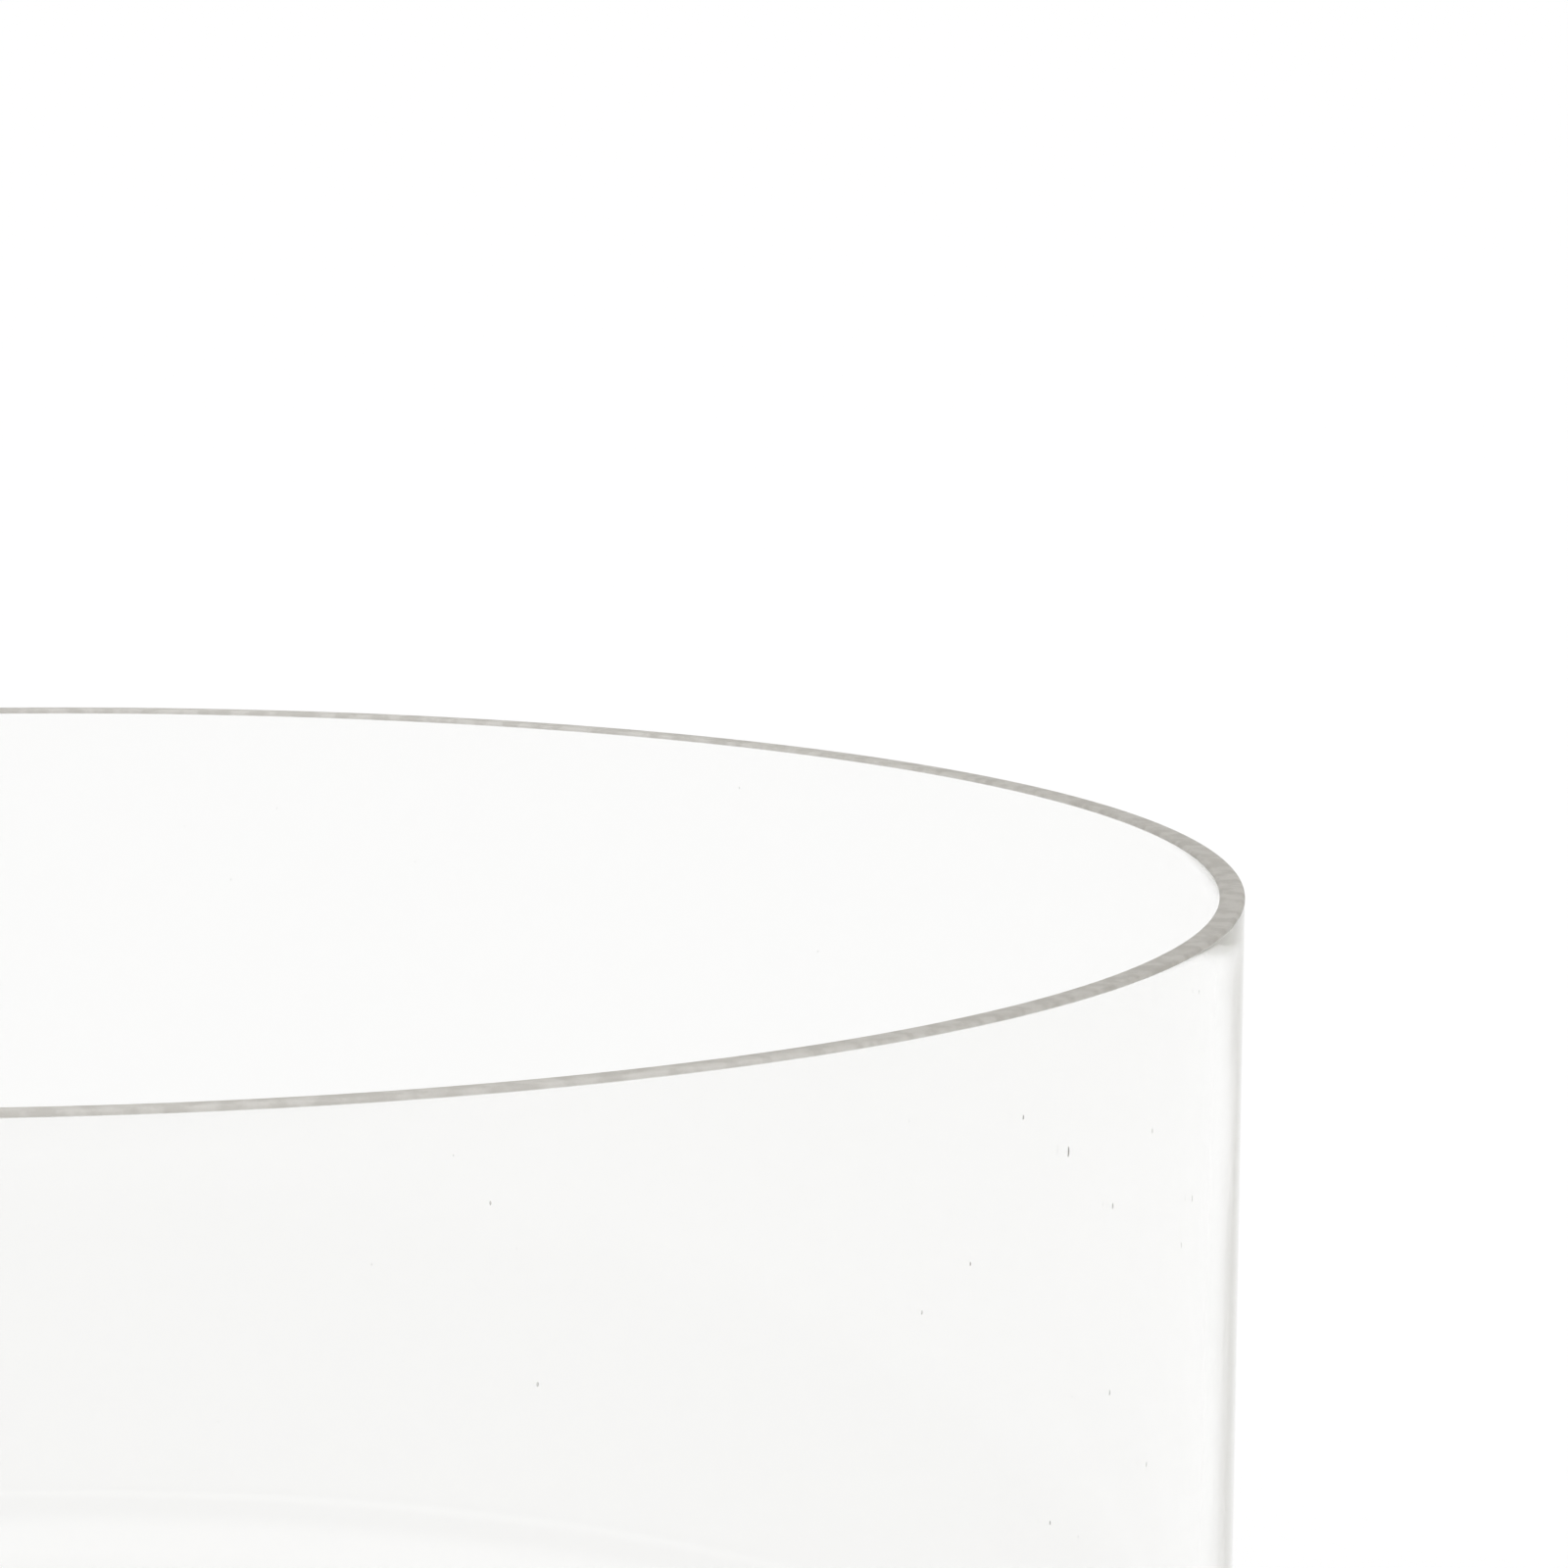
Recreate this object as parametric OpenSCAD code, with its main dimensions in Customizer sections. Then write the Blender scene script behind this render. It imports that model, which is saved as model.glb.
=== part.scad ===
// Crystallizing dish without a spout: a wide, flat-bottomed cylinder of clear borosilicate glass.
//
// The real dish is one piece of blown glass. It is drawn here as its four zones, from the table up:
// base, heel, side wall and rim. Each zone is a closed ring or disc of revolution about Z, and each
// meets the next one face to face, so that together they fill exactly the one glass body.
// Millimetres, +Z up, origin on the axis in the plane that the dish stands on.

/* [Dish] */
// Outside diameter of the side wall
outer_d = 230; // [140:5:300]
// Height from the table to the top of the rim
height = 100; // [60:5:160]

/* [Glass thickness] */
// Thickness of the side wall at the rim, where the glass is thinnest
wall_top = 2.3; // [1.6:0.1:2.8]
// Thickness of the base, the heel and the foot of the side wall
wall_foot = 3; // [2.8:0.1:5]

/* [Base and heel] */
// Outside radius of the heel, the rounded corner between the base and the side wall
heel_r = 12; // [8:1:20]
// Width of the flat ring that the dish stands on, inside the heel
foot_w = 10; // [4:1:20]
// How far the middle of the base is pushed up clear of the table
push_up = 1.2; // [0:0.1:3]

/* [Rim] */
// Height of the rim zone, which is ground flat on top and softened in the flame
rim_h = 3; // [2:0.5:6]
// Radius of the softened edges on both sides of the rim's flat top
lip_r = 0.4; // [0.2:0.05:0.7]

/* [Hidden] */
$fn = 180;
edge_fn = 48;       // facets drawn round the small arcs of the profile
base_steps = 12;    // rings that the push-up's curve is drawn with
outer_r = outer_d / 2;
bore_top = outer_r - wall_top;      // inside radius at the rim
bore_foot = outer_r - wall_foot;    // inside radius where the wall meets the heel
foot_outer = outer_r - heel_r;      // where the heel starts to leave the table
foot_inner = foot_outer - foot_w;   // where the push-up starts
rim_z = height - rim_h;

// Rise of the base above its own foot ring at radius r: a smooth dome, level in the middle and at its edge.
function rise(r) = push_up * (1 + cos(180 * min(r / foot_inner, 1))) / 2;

// The dome's outline from the axis to the foot ring, with its foot at height z.
function dome(z) = [for (i = [0 : base_steps]) let (r = foot_inner * i / base_steps) [r, z + rise(r)]];

// Reversed copy of a list of points, to close an outline on its way back.
function reversed(points) = [for (i = [len(points) - 1 : -1 : 0]) points[i]];

// Bottom plate of even thickness, pushed up in the middle, flat along the foot ring.
module base() {
    color("azure", 0.35)
        rotate_extrude()
            polygon(concat(
                dome(0),
                [[foot_outer, 0], [foot_outer, wall_foot]],
                reversed(dome(wall_foot))
            ));
}

// Quarter ring that turns the base up into the wall at an even thickness.
module heel() {
    color("lightcyan", 0.35)
        rotate_extrude()
            translate([foot_outer, heel_r])
                intersection() {
                    difference() {
                        circle(r = heel_r, $fn = edge_fn);
                        circle(r = heel_r - wall_foot, $fn = edge_fn);
                    }
                    translate([0, -heel_r]) square(heel_r);
                }
}

// Side wall: a true cylinder outside, and inside a bore that widens slightly towards the rim.
module side_wall() {
    color("aliceblue", 0.35)
        rotate_extrude()
            polygon([
                [bore_foot, heel_r], [outer_r, heel_r],
                [outer_r, rim_z], [bore_top, rim_z]
            ]);
}

// Half outline of the rim: a flat land between two softened edges.
module rim_profile() {
    translate([bore_top, rim_z]) square([wall_top, rim_h - lip_r]);
    translate([bore_top + lip_r, height - 2 * lip_r]) square([wall_top - 2 * lip_r, 2 * lip_r]);
    for (x = [bore_top + lip_r, outer_r - lip_r])
        translate([x, height - lip_r]) circle(r = lip_r, $fn = edge_fn);
}

// Rim: the cut top of the wall, ground flat so that a cover glass lies tight on it.
module rim() {
    color("lightslategray", 0.6)
        rotate_extrude()
            rim_profile();
}

base();
heel();
side_wall();
rim();
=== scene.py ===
# Looks of a crystallizing dish: one blown body of clear borosilicate glass with a ground rim.
#
# The CAD holds the dish as four zones: base, heel, side wall and rim. Real glass has no joints between them,
# and a joint inside glass would show as a dark ring, so one watertight mesh stands for all four. It is turned
# from a half outline that follows the CAD, and small air seeds lie inside its wall as closed voids.
# Lengths are in metres. Angles that are written as numbers are in degrees. An azimuth runs from -Y, where the
# camera is, towards +X.
import math
import random

import bpy
from mathutils import Matrix, Vector


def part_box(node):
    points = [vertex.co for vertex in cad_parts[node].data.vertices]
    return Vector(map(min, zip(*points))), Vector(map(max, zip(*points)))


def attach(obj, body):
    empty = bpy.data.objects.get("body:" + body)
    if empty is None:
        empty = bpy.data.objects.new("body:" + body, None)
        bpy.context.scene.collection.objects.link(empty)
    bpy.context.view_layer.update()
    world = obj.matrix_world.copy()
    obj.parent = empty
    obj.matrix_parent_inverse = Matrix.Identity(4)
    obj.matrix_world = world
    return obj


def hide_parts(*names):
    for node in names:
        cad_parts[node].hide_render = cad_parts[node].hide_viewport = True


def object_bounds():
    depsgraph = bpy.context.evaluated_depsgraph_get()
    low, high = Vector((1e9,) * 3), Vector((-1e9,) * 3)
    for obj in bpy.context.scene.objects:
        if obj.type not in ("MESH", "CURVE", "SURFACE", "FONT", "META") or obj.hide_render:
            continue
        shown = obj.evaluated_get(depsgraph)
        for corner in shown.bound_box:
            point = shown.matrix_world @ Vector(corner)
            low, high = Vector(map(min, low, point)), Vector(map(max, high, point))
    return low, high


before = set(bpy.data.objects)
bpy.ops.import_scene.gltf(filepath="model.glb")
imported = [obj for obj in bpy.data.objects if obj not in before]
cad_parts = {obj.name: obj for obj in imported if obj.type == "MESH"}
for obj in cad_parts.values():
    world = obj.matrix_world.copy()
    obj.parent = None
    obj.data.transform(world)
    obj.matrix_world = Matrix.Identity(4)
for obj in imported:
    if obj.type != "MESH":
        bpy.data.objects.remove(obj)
cad_low, cad_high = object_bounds()

# ---------------------------------------------------------------- sizes, from the frame where it has them
MM = 0.001
OUTER_R = min(cad_high.x, cad_high.y)
HEIGHT = cad_high.z
HEEL_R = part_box("heel")[1].z
RIM_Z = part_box("rim")[0].z
WALL_TOP = 2.3 * MM        # glass at the rim
WALL_FOOT = 3.0 * MM       # glass at the foot of the wall, in the heel and in the base
LIP_R = 0.4 * MM           # softened edges of the rim
FOOT_W = 10 * MM           # flat ring that the dish stands on
PUSH_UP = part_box("base")[1].z - WALL_FOOT
BORE_TOP = OUTER_R - WALL_TOP
BORE_FOOT = OUTER_R - WALL_FOOT
FOOT_OUTER = OUTER_R - HEEL_R
FOOT_INNER = FOOT_OUTER - FOOT_W

SEGMENTS = 384             # round the dish
DOME_STEPS = 20            # from the axis to the foot ring
GLASS_IOR = 1.474          # borosilicate glass 3.3
BOUNCES = 400              # light runs far round inside the wall, and a low limit darkens the wall's edges

# ---------------------------------------------------------------- flaws of blown glass
# The seeds that show most: azimuth, height, width and length, with lengths in millimetres.
LARGE_SEEDS = (
    (50, 87, 0.28, 0.90), (46.5, 91, 0.20, 0.40), (54, 81, 0.22, 0.50), (58, 86, 0.18, 0.42),
    (64, 96, 0.16, 0.36), (63.5, 78, 0.20, 0.55), (62, 74.5, 0.18, 0.48), (43, 80, 0.17, 0.36),
    (40, 77, 0.15, 0.34), (54, 65, 0.18, 0.46), (58, 57, 0.17, 0.44), (49, 56, 0.17, 0.36),
    (21, 76.5, 0.18, 0.36), (19, 91, 0.15, 0.32),
)
LARGE_LEAN = 8             # most that a large seed leans from upright, in degrees
SMALL_SEEDS = 90           # scattered over the whole wall
SMALL_WIDTH = (0.04, 0.08)     # least and most, in millimetres
SMALL_STRETCH = (1.5, 3.5)     # least and most length, in widths
SMALL_LEAN = 12
SEED_SIDES = 10            # facets round a seed
SEED_RINGS = 6             # facets from its one end to the other
WAVE = 0.025 * MM          # how far the bore swells and shrinks, which bends what shows through it

# ---------------------------------------------------------------- clear glass
CLEAR_TINT = (0.968, 0.967, 0.963, 1)      # what is left of light that goes into the glass and out again
DEPTH_TINT = (0.90, 0.895, 0.86, 1)        # the glass absorbs DEPTH_DENSITY * (1 - this) per metre
DEPTH_DENSITY = 8
POLISH_SCALE = 45          # noise scales are per metre, so a higher one is finer
POLISH_DEPTH = 0.02 * MM   # depth of the faint ripple on the polished surface

# ---------------------------------------------------------------- ground rim
GROUND_FROM = HEIGHT - 1.2 * LIP_R         # the ground finish starts here
GROUND_FULL = HEIGHT - 0.9 * LIP_R         # and covers the glass from here up
GROUND_PALE = (0.60, 0.58, 0.545, 1)       # its two mottled tones
GROUND_DARK = (0.50, 0.48, 0.445, 1)
GROUND_CLEARNESS = 0.3                     # share of the light that passes through it instead of scattering
GROUND_ROUGHNESS = (0.5, 0.7)              # in the hollows and on the peaks of its grain
GRAIN_SCALE = 6000
GRAIN_RANGE = (0.3, 0.7)                   # noise from its hollows to its peaks
GRAIN_DEPTH = 0.02 * MM
MOTTLE_SCALE = 420
MOTTLE_RANGE = (0.4, 0.6)                  # noise over which dark turns into pale

# ---------------------------------------------------------------- wear on the foot ring
WORN_FROM = 0.06 * MM      # the wear starts below this height
WORN_FULL = 0.01 * MM      # and is full from here down
WEAR_SCALE = 900
WEAR_RANGE = (0.52, 0.68)  # noise over which unrubbed glass turns into rubbed
WEAR_ROUGHNESS = 0.3       # where it is rubbed most

# ---------------------------------------------------------------- floor
FLOOR_WHITE = (0.955, 0.955, 0.955, 1)
FLOOR_SHADE = (0.945, 0.945, 0.944, 1)
FLOOR_HALF = 20            # the floor reaches this far each way
FLOOR_GAP = 0.2 * MM       # it lies this far below the foot, so that the two never share a plane
TOOTH_SCALE = 700
TOOTH_DEPTH = 0.05 * MM
TOOTH_STRENGTH = 0.4

# ---------------------------------------------------------------- soft studio light, from the horizon up
# A direction's height is the Z of its unit vector: 0 at the horizon and 1 straight up.
SWEEP = (1.0, 1.0, 1.0, 1)             # white background that runs into the floor
ROOM_STARTS = (0.02, 0.15)             # heights over which the sweep turns into the room
ROOM = (0.66, 0.66, 0.655, 1)          # darker room above it, which draws the edges of the glass
SOFT_BOX_STARTS = (0.35, 0.75)         # heights over which the room turns into the soft light
SOFT_BOX = (1.245, 1.245, 1.245, 1)    # wide soft light overhead

# ---------------------------------------------------------------- camera
LENS = 141.6               # focal length in millimetres, on a sensor 36 mm wide
CAMERA_BACK = 4.915        # outside radii from the axis
CAMERA_ABOVE = 0.775       # outside radii above the rim
CAMERA_AIM = (8.18, 7.40, 0.46)    # degrees down, to the right, and of roll


# ---------------------------------------------------------------- outline of the glass
def rise(r):
    """How far the base is pushed up at radius r."""
    return PUSH_UP * (1 + math.cos(math.pi * min(r / FOOT_INNER, 1))) / 2


def arc(centre_r, centre_z, radius, start, end, steps):
    """Points along a round stretch of the outline, without its first point."""
    turns = [math.radians(start + (end - start) * i / steps) for i in range(1, steps + 1)]
    return [(centre_r + radius * math.cos(a), centre_z + radius * math.sin(a)) for a in turns]


def line(start, end, steps):
    """Points along a straight stretch of the outline, without its first point."""
    shares = [i / steps for i in range(1, steps + 1)]
    return [(start[0] + (end[0] - start[0]) * t, start[1] + (end[1] - start[1]) * t) for t in shares]


def outline():
    """Half outline of the glass as (radius, height), from the axis below the base to the axis above it.

    The last number of each stretch is the count of its steps.
    """
    radii = [FOOT_INNER * i / DOME_STEPS for i in range(DOME_STEPS + 1)]
    dome = [(r, rise(r)) for r in radii]
    points = list(dome)
    points += line((FOOT_INNER, 0), (FOOT_OUTER, 0), 4)
    points += arc(FOOT_OUTER, HEEL_R, HEEL_R, -90, 0, 14)
    points += line((OUTER_R, HEEL_R), (OUTER_R, HEIGHT - LIP_R), 30)
    points += arc(OUTER_R - LIP_R, HEIGHT - LIP_R, LIP_R, 0, 90, 6)
    points += line((OUTER_R - LIP_R, HEIGHT), (BORE_TOP + LIP_R, HEIGHT), 4)
    points += arc(BORE_TOP + LIP_R, HEIGHT - LIP_R, LIP_R, 90, 180, 6)
    points += line((BORE_TOP, HEIGHT - LIP_R), (BORE_TOP, RIM_Z), 3)
    points += line((BORE_TOP, RIM_Z), (BORE_FOOT, HEEL_R), 28)
    points += arc(FOOT_OUTER, HEEL_R, HEEL_R - WALL_FOOT, 0, -90, 12)
    points += line((FOOT_OUTER, WALL_FOOT), (FOOT_INNER, WALL_FOOT), 3)
    points += [(r, z + WALL_FOOT) for r, z in reversed(dome[:-1])]
    return points


def ripple(r, z, azimuth):
    """Slow swelling of the bore between the heel and the rim, as blown glass has. It is nil elsewhere.

    It sums 5, 13 and 31 waves round the dish and a slower one up the wall, and never exceeds WAVE.
    The azimuth is in radians.
    """
    if r > OUTER_R - 0.5 * WALL_TOP or z <= HEEL_R or z >= RIM_Z:
        return 0
    share = (z - HEEL_R) / (RIM_Z - HEEL_R)
    few = math.sin(5 * azimuth + 2.1)
    more = 0.6 * math.sin(13 * azimuth + 9 * share)
    many = 0.4 * math.sin(31 * azimuth)
    up_it = math.sin(11 * share + 2 * math.cos(3 * azimuth))
    return WAVE * math.sin(math.pi * share) * (few + more + many + up_it) / 3


def turned(points):
    """Vertices and faces of a closed body of revolution. The outline starts and ends on the axis."""
    vertices = [(0, 0, points[0][1]), (0, 0, points[-1][1])]
    rings = points[1:-1]
    for r, z in rings:
        for k in range(SEGMENTS):
            a = 2 * math.pi * k / SEGMENTS
            wavy = r + ripple(r, z, a)
            vertices.append((wavy * math.sin(a), -wavy * math.cos(a), z))
    faces = []
    for k in range(SEGMENTS):
        after = (k + 1) % SEGMENTS
        faces.append((0, 2 + after, 2 + k))
        for i in range(len(rings) - 1):
            low, high = 2 + i * SEGMENTS, 2 + (i + 1) * SEGMENTS
            faces.append((low + k, low + after, high + after, high + k))
        last = 2 + (len(rings) - 1) * SEGMENTS
        faces.append((last + k, last + after, 1))
    return vertices, faces


def wall_middle(z):
    """Radius of the middle of the side wall's glass at height z."""
    share = (z - HEEL_R) / (RIM_Z - HEEL_R)
    return OUTER_R - (WALL_FOOT + (WALL_TOP - WALL_FOOT) * share) / 2


def seed(azimuth, height, width, length, lean):
    """Vertices and faces of one air seed: a closed void, upright but for its lean.

    It lies in the middle of the wall's glass, and its faces look inwards, out of the glass.
    """
    turn = Matrix.Rotation(math.radians(azimuth), 4, "Z")
    turn = turn @ Matrix.Translation((0, -wall_middle(height), height))
    turn = turn @ Matrix.Rotation(math.radians(lean), 4, "Y")
    vertices = [turn @ Vector((0, 0, -length / 2)), turn @ Vector((0, 0, length / 2))]
    for i in range(1, SEED_RINGS):
        up = math.pi * i / SEED_RINGS
        for k in range(SEED_SIDES):
            a = 2 * math.pi * k / SEED_SIDES
            out = width / 2 * math.sin(up)
            along = -length / 2 * math.cos(up)
            vertices.append(turn @ Vector((out * math.cos(a), out * math.sin(a), along)))
    faces = []
    for k in range(SEED_SIDES):
        after = (k + 1) % SEED_SIDES
        faces.append((0, 2 + k, 2 + after))
        for i in range(SEED_RINGS - 2):
            low, high = 2 + i * SEED_SIDES, 2 + (i + 1) * SEED_SIDES
            faces.append((low + k, high + k, high + after, low + after))
        last = 2 + (SEED_RINGS - 2) * SEED_SIDES
        faces.append((last + k, 1, last + after))
    return vertices, faces


def all_seeds():
    """The large seeds, and small ones strewn over the wall, as (azimuth, height, width, length, lean)."""
    chance = random.Random(5)
    found = []
    for azimuth, height, width, length in LARGE_SEEDS:
        lean = chance.uniform(-LARGE_LEAN, LARGE_LEAN)
        found.append((azimuth, height * MM, width * MM, length * MM, lean))
    for _ in range(SMALL_SEEDS):
        azimuth = chance.uniform(0, 360)
        height = chance.uniform(HEEL_R + 3 * MM, RIM_Z - MM)
        width = chance.uniform(*SMALL_WIDTH) * MM
        length = width * chance.uniform(*SMALL_STRETCH)
        lean = chance.uniform(-SMALL_LEAN, SMALL_LEAN)
        found.append((azimuth, height, width, length, lean))
    return found


# ---------------------------------------------------------------- the view
def add_camera():
    """The photograph's viewing angle: a long lens a little above the rim, aimed to the right of the axis."""
    data = bpy.data.cameras.new("camera")
    data.sensor_width = 36
    data.lens = LENS
    data.clip_start = 0.01
    data.clip_end = 100
    camera = bpy.data.objects.new("camera", data)
    bpy.context.scene.collection.objects.link(camera)
    place = Vector((0, -CAMERA_BACK * OUTER_R, HEIGHT + CAMERA_ABOVE * OUTER_R))
    pitch, yaw, roll = (math.radians(a) for a in CAMERA_AIM)
    turn = (Matrix.Rotation(-yaw, 4, "Z") @ Matrix.Rotation(math.pi / 2 - pitch, 4, "X")
            @ Matrix.Rotation(roll, 4, "Z"))
    camera.matrix_world = Matrix.Translation(place) @ turn
    bpy.context.scene.camera = camera


# ---------------------------------------------------------------- materials
def material(name):
    """An empty node material: itself, its node tree and its Principled shader."""
    made = bpy.data.materials.new(name)
    made.use_nodes = True
    tree = made.node_tree
    tree.nodes.clear()
    shader = tree.nodes.new("ShaderNodeBsdfPrincipled")
    out = tree.nodes.new("ShaderNodeOutputMaterial")
    tree.links.new(shader.outputs["BSDF"], out.inputs["Surface"])
    return made, tree, shader


def feed(tree, socket, value):
    """Links value to a socket if it is another socket, and else sets it there."""
    if isinstance(value, bpy.types.NodeSocket):
        tree.links.new(value, socket)
    else:
        socket.default_value = value


def math_node(tree, operation, first, second=0.0):
    """Result of a maths operation on two values or sockets."""
    node = tree.nodes.new("ShaderNodeMath")
    node.operation = operation
    feed(tree, node.inputs[0], first)
    feed(tree, node.inputs[1], second)
    return node.outputs[0]


def ramp(tree, value, low, high, to_low=0.0, to_high=1.0):
    """Maps value smoothly from low..high to to_low..to_high, and holds it beyond both ends."""
    node = tree.nodes.new("ShaderNodeMapRange")
    node.interpolation_type = "SMOOTHSTEP"
    feed(tree, node.inputs["Value"], value)
    for name, number in (("From Min", low), ("From Max", high), ("To Min", to_low), ("To Max", to_high)):
        node.inputs[name].default_value = number
    return node.outputs["Result"]


def mix_colour(tree, share, first, second):
    """The first colour where share is 0, the second where it is 1, and a blend between."""
    node = tree.nodes.new("ShaderNodeMix")
    node.data_type = "RGBA"
    feed(tree, node.inputs["Factor"], share)
    feed(tree, node.inputs["A"], first)
    feed(tree, node.inputs["B"], second)
    return node.outputs["Result"]


def noise(tree, place, scale, detail=2.0):
    """Cloudy values about 0.5, finer with a higher scale and rougher with more detail."""
    node = tree.nodes.new("ShaderNodeTexNoise")
    feed(tree, node.inputs["Vector"], place)
    node.inputs["Scale"].default_value = scale
    node.inputs["Detail"].default_value = detail
    return node.outputs["Fac"]


def bump(tree, height, depth, strength, under=None):
    """Normal of a surface that rises with height by up to depth, laid over the normal under it."""
    node = tree.nodes.new("ShaderNodeBump")
    feed(tree, node.inputs["Height"], height)
    node.inputs["Distance"].default_value = depth
    feed(tree, node.inputs["Strength"], strength)
    if under is not None:
        tree.links.new(under, node.inputs["Normal"])
    return node.outputs["Normal"]


def coordinate(tree, kind):
    """Texture coordinate: "Object" is a place on the object, and a world's "Generated" is a direction."""
    return tree.nodes.new("ShaderNodeTexCoord").outputs[kind]


def height_of(tree, place):
    """The Z of a place or of a direction."""
    parts = tree.nodes.new("ShaderNodeSeparateXYZ")
    tree.links.new(place, parts.inputs[0])
    return parts.outputs["Z"]


def glass_material():
    """Clear borosilicate glass: ground matt at the rim, worn on the foot ring, faintly rippled all over."""
    made, tree, shader = material("borosilicate_glass")
    place = coordinate(tree, "Object")
    z = height_of(tree, place)

    ground = ramp(tree, z, GROUND_FROM, GROUND_FULL)
    grain = noise(tree, place, GRAIN_SCALE)
    matt = math_node(tree, "MULTIPLY", ground, ramp(tree, grain, *GRAIN_RANGE, *GROUND_ROUGHNESS))
    mottle = ramp(tree, noise(tree, place, MOTTLE_SCALE, 4), *MOTTLE_RANGE)
    ground_colour = mix_colour(tree, mottle, GROUND_DARK, GROUND_PALE)

    foot = ramp(tree, z, WORN_FROM, WORN_FULL)
    rubs = ramp(tree, noise(tree, place, WEAR_SCALE, 6), *WEAR_RANGE, 0.0, WEAR_ROUGHNESS)
    worn = math_node(tree, "MULTIPLY", foot, rubs)

    polish = bump(tree, noise(tree, place, POLISH_SCALE, 1), POLISH_DEPTH, 1.0)
    feed(tree, shader.inputs["Base Color"], mix_colour(tree, ground, CLEAR_TINT, ground_colour))
    feed(tree, shader.inputs["Roughness"], math_node(tree, "MAXIMUM", matt, worn))
    feed(tree, shader.inputs["Normal"], bump(tree, grain, GRAIN_DEPTH, ground, polish))
    feed(tree, shader.inputs["Transmission Weight"], ramp(tree, ground, 0, 1, 1, GROUND_CLEARNESS))
    shader.inputs["IOR"].default_value = GLASS_IOR

    depth = tree.nodes.new("ShaderNodeVolumeAbsorption")
    depth.inputs["Color"].default_value = DEPTH_TINT
    depth.inputs["Density"].default_value = DEPTH_DENSITY
    tree.links.new(depth.outputs["Volume"], tree.nodes["Material Output"].inputs["Volume"])
    return made


def floor_material():
    """Plain matt white board with a faint tooth."""
    made, tree, shader = material("studio_floor")
    tooth = noise(tree, coordinate(tree, "Object"), TOOTH_SCALE, 3)
    feed(tree, shader.inputs["Base Color"], mix_colour(tree, tooth, FLOOR_WHITE, FLOOR_SHADE))
    feed(tree, shader.inputs["Normal"], bump(tree, tooth, TOOTH_DEPTH, TOOTH_STRENGTH))
    shader.inputs["Roughness"].default_value = 0.9
    shader.inputs["Specular IOR Level"].default_value = 0.2
    return made


# ---------------------------------------------------------------- the dish
def add_dish():
    """The whole glass as one closed mesh, with its air seeds as voids inside the wall."""
    vertices, faces = turned(outline())
    for place in all_seeds():
        more_vertices, more_faces = seed(*place)
        faces += [tuple(len(vertices) + i for i in face) for face in more_faces]
        vertices += more_vertices
    mesh = bpy.data.meshes.new("dish_glass")
    mesh.from_pydata(vertices, [], faces)
    mesh.shade_smooth()
    dish = bpy.data.objects.new("dish_glass", mesh)
    bpy.context.scene.collection.objects.link(dish)
    mesh.materials.append(glass_material())
    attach(dish, "root")
    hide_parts("base", "heel", "side_wall", "rim")


# ---------------------------------------------------------------- stage
def add_floor():
    """A level square of board that reaches far past the view."""
    corners = [(x * FLOOR_HALF, y * FLOOR_HALF, 0) for x, y in ((-1, -1), (1, -1), (1, 1), (-1, 1))]
    mesh = bpy.data.meshes.new("floor")
    mesh.from_pydata(corners, [], [(0, 1, 2, 3)])
    mesh.materials.append(floor_material())
    floor = bpy.data.objects.new("floor", mesh)
    floor.location.z = -FLOOR_GAP
    bpy.context.scene.collection.objects.link(floor)


def add_world():
    """Soft light from all round: a white sweep at the horizon, a darker room, and a soft box overhead."""
    world = bpy.data.worlds.new("studio")
    bpy.context.scene.world = world
    world.use_nodes = True
    tree = world.node_tree
    up = height_of(tree, coordinate(tree, "Generated"))
    around = mix_colour(tree, ramp(tree, up, *ROOM_STARTS), SWEEP, ROOM)
    light = mix_colour(tree, ramp(tree, up, *SOFT_BOX_STARTS), around, SOFT_BOX)
    feed(tree, tree.nodes["Background"].inputs["Color"], light)


def set_light_paths():
    """Lets light run round inside the wall until it comes out, and reach the floor through sharp glass.

    The blur that Cycles lays over glass behind a matt surface loses light, and draws a false shadow round the
    foot.
    """
    cycles = bpy.context.scene.cycles
    cycles.max_bounces = BOUNCES
    cycles.glossy_bounces = BOUNCES
    cycles.transmission_bounces = BOUNCES
    cycles.blur_glossy = 0


set_light_paths()
add_camera()
add_dish()
add_floor()
add_world()
bpy.context.scene.view_settings.view_transform = "Standard"
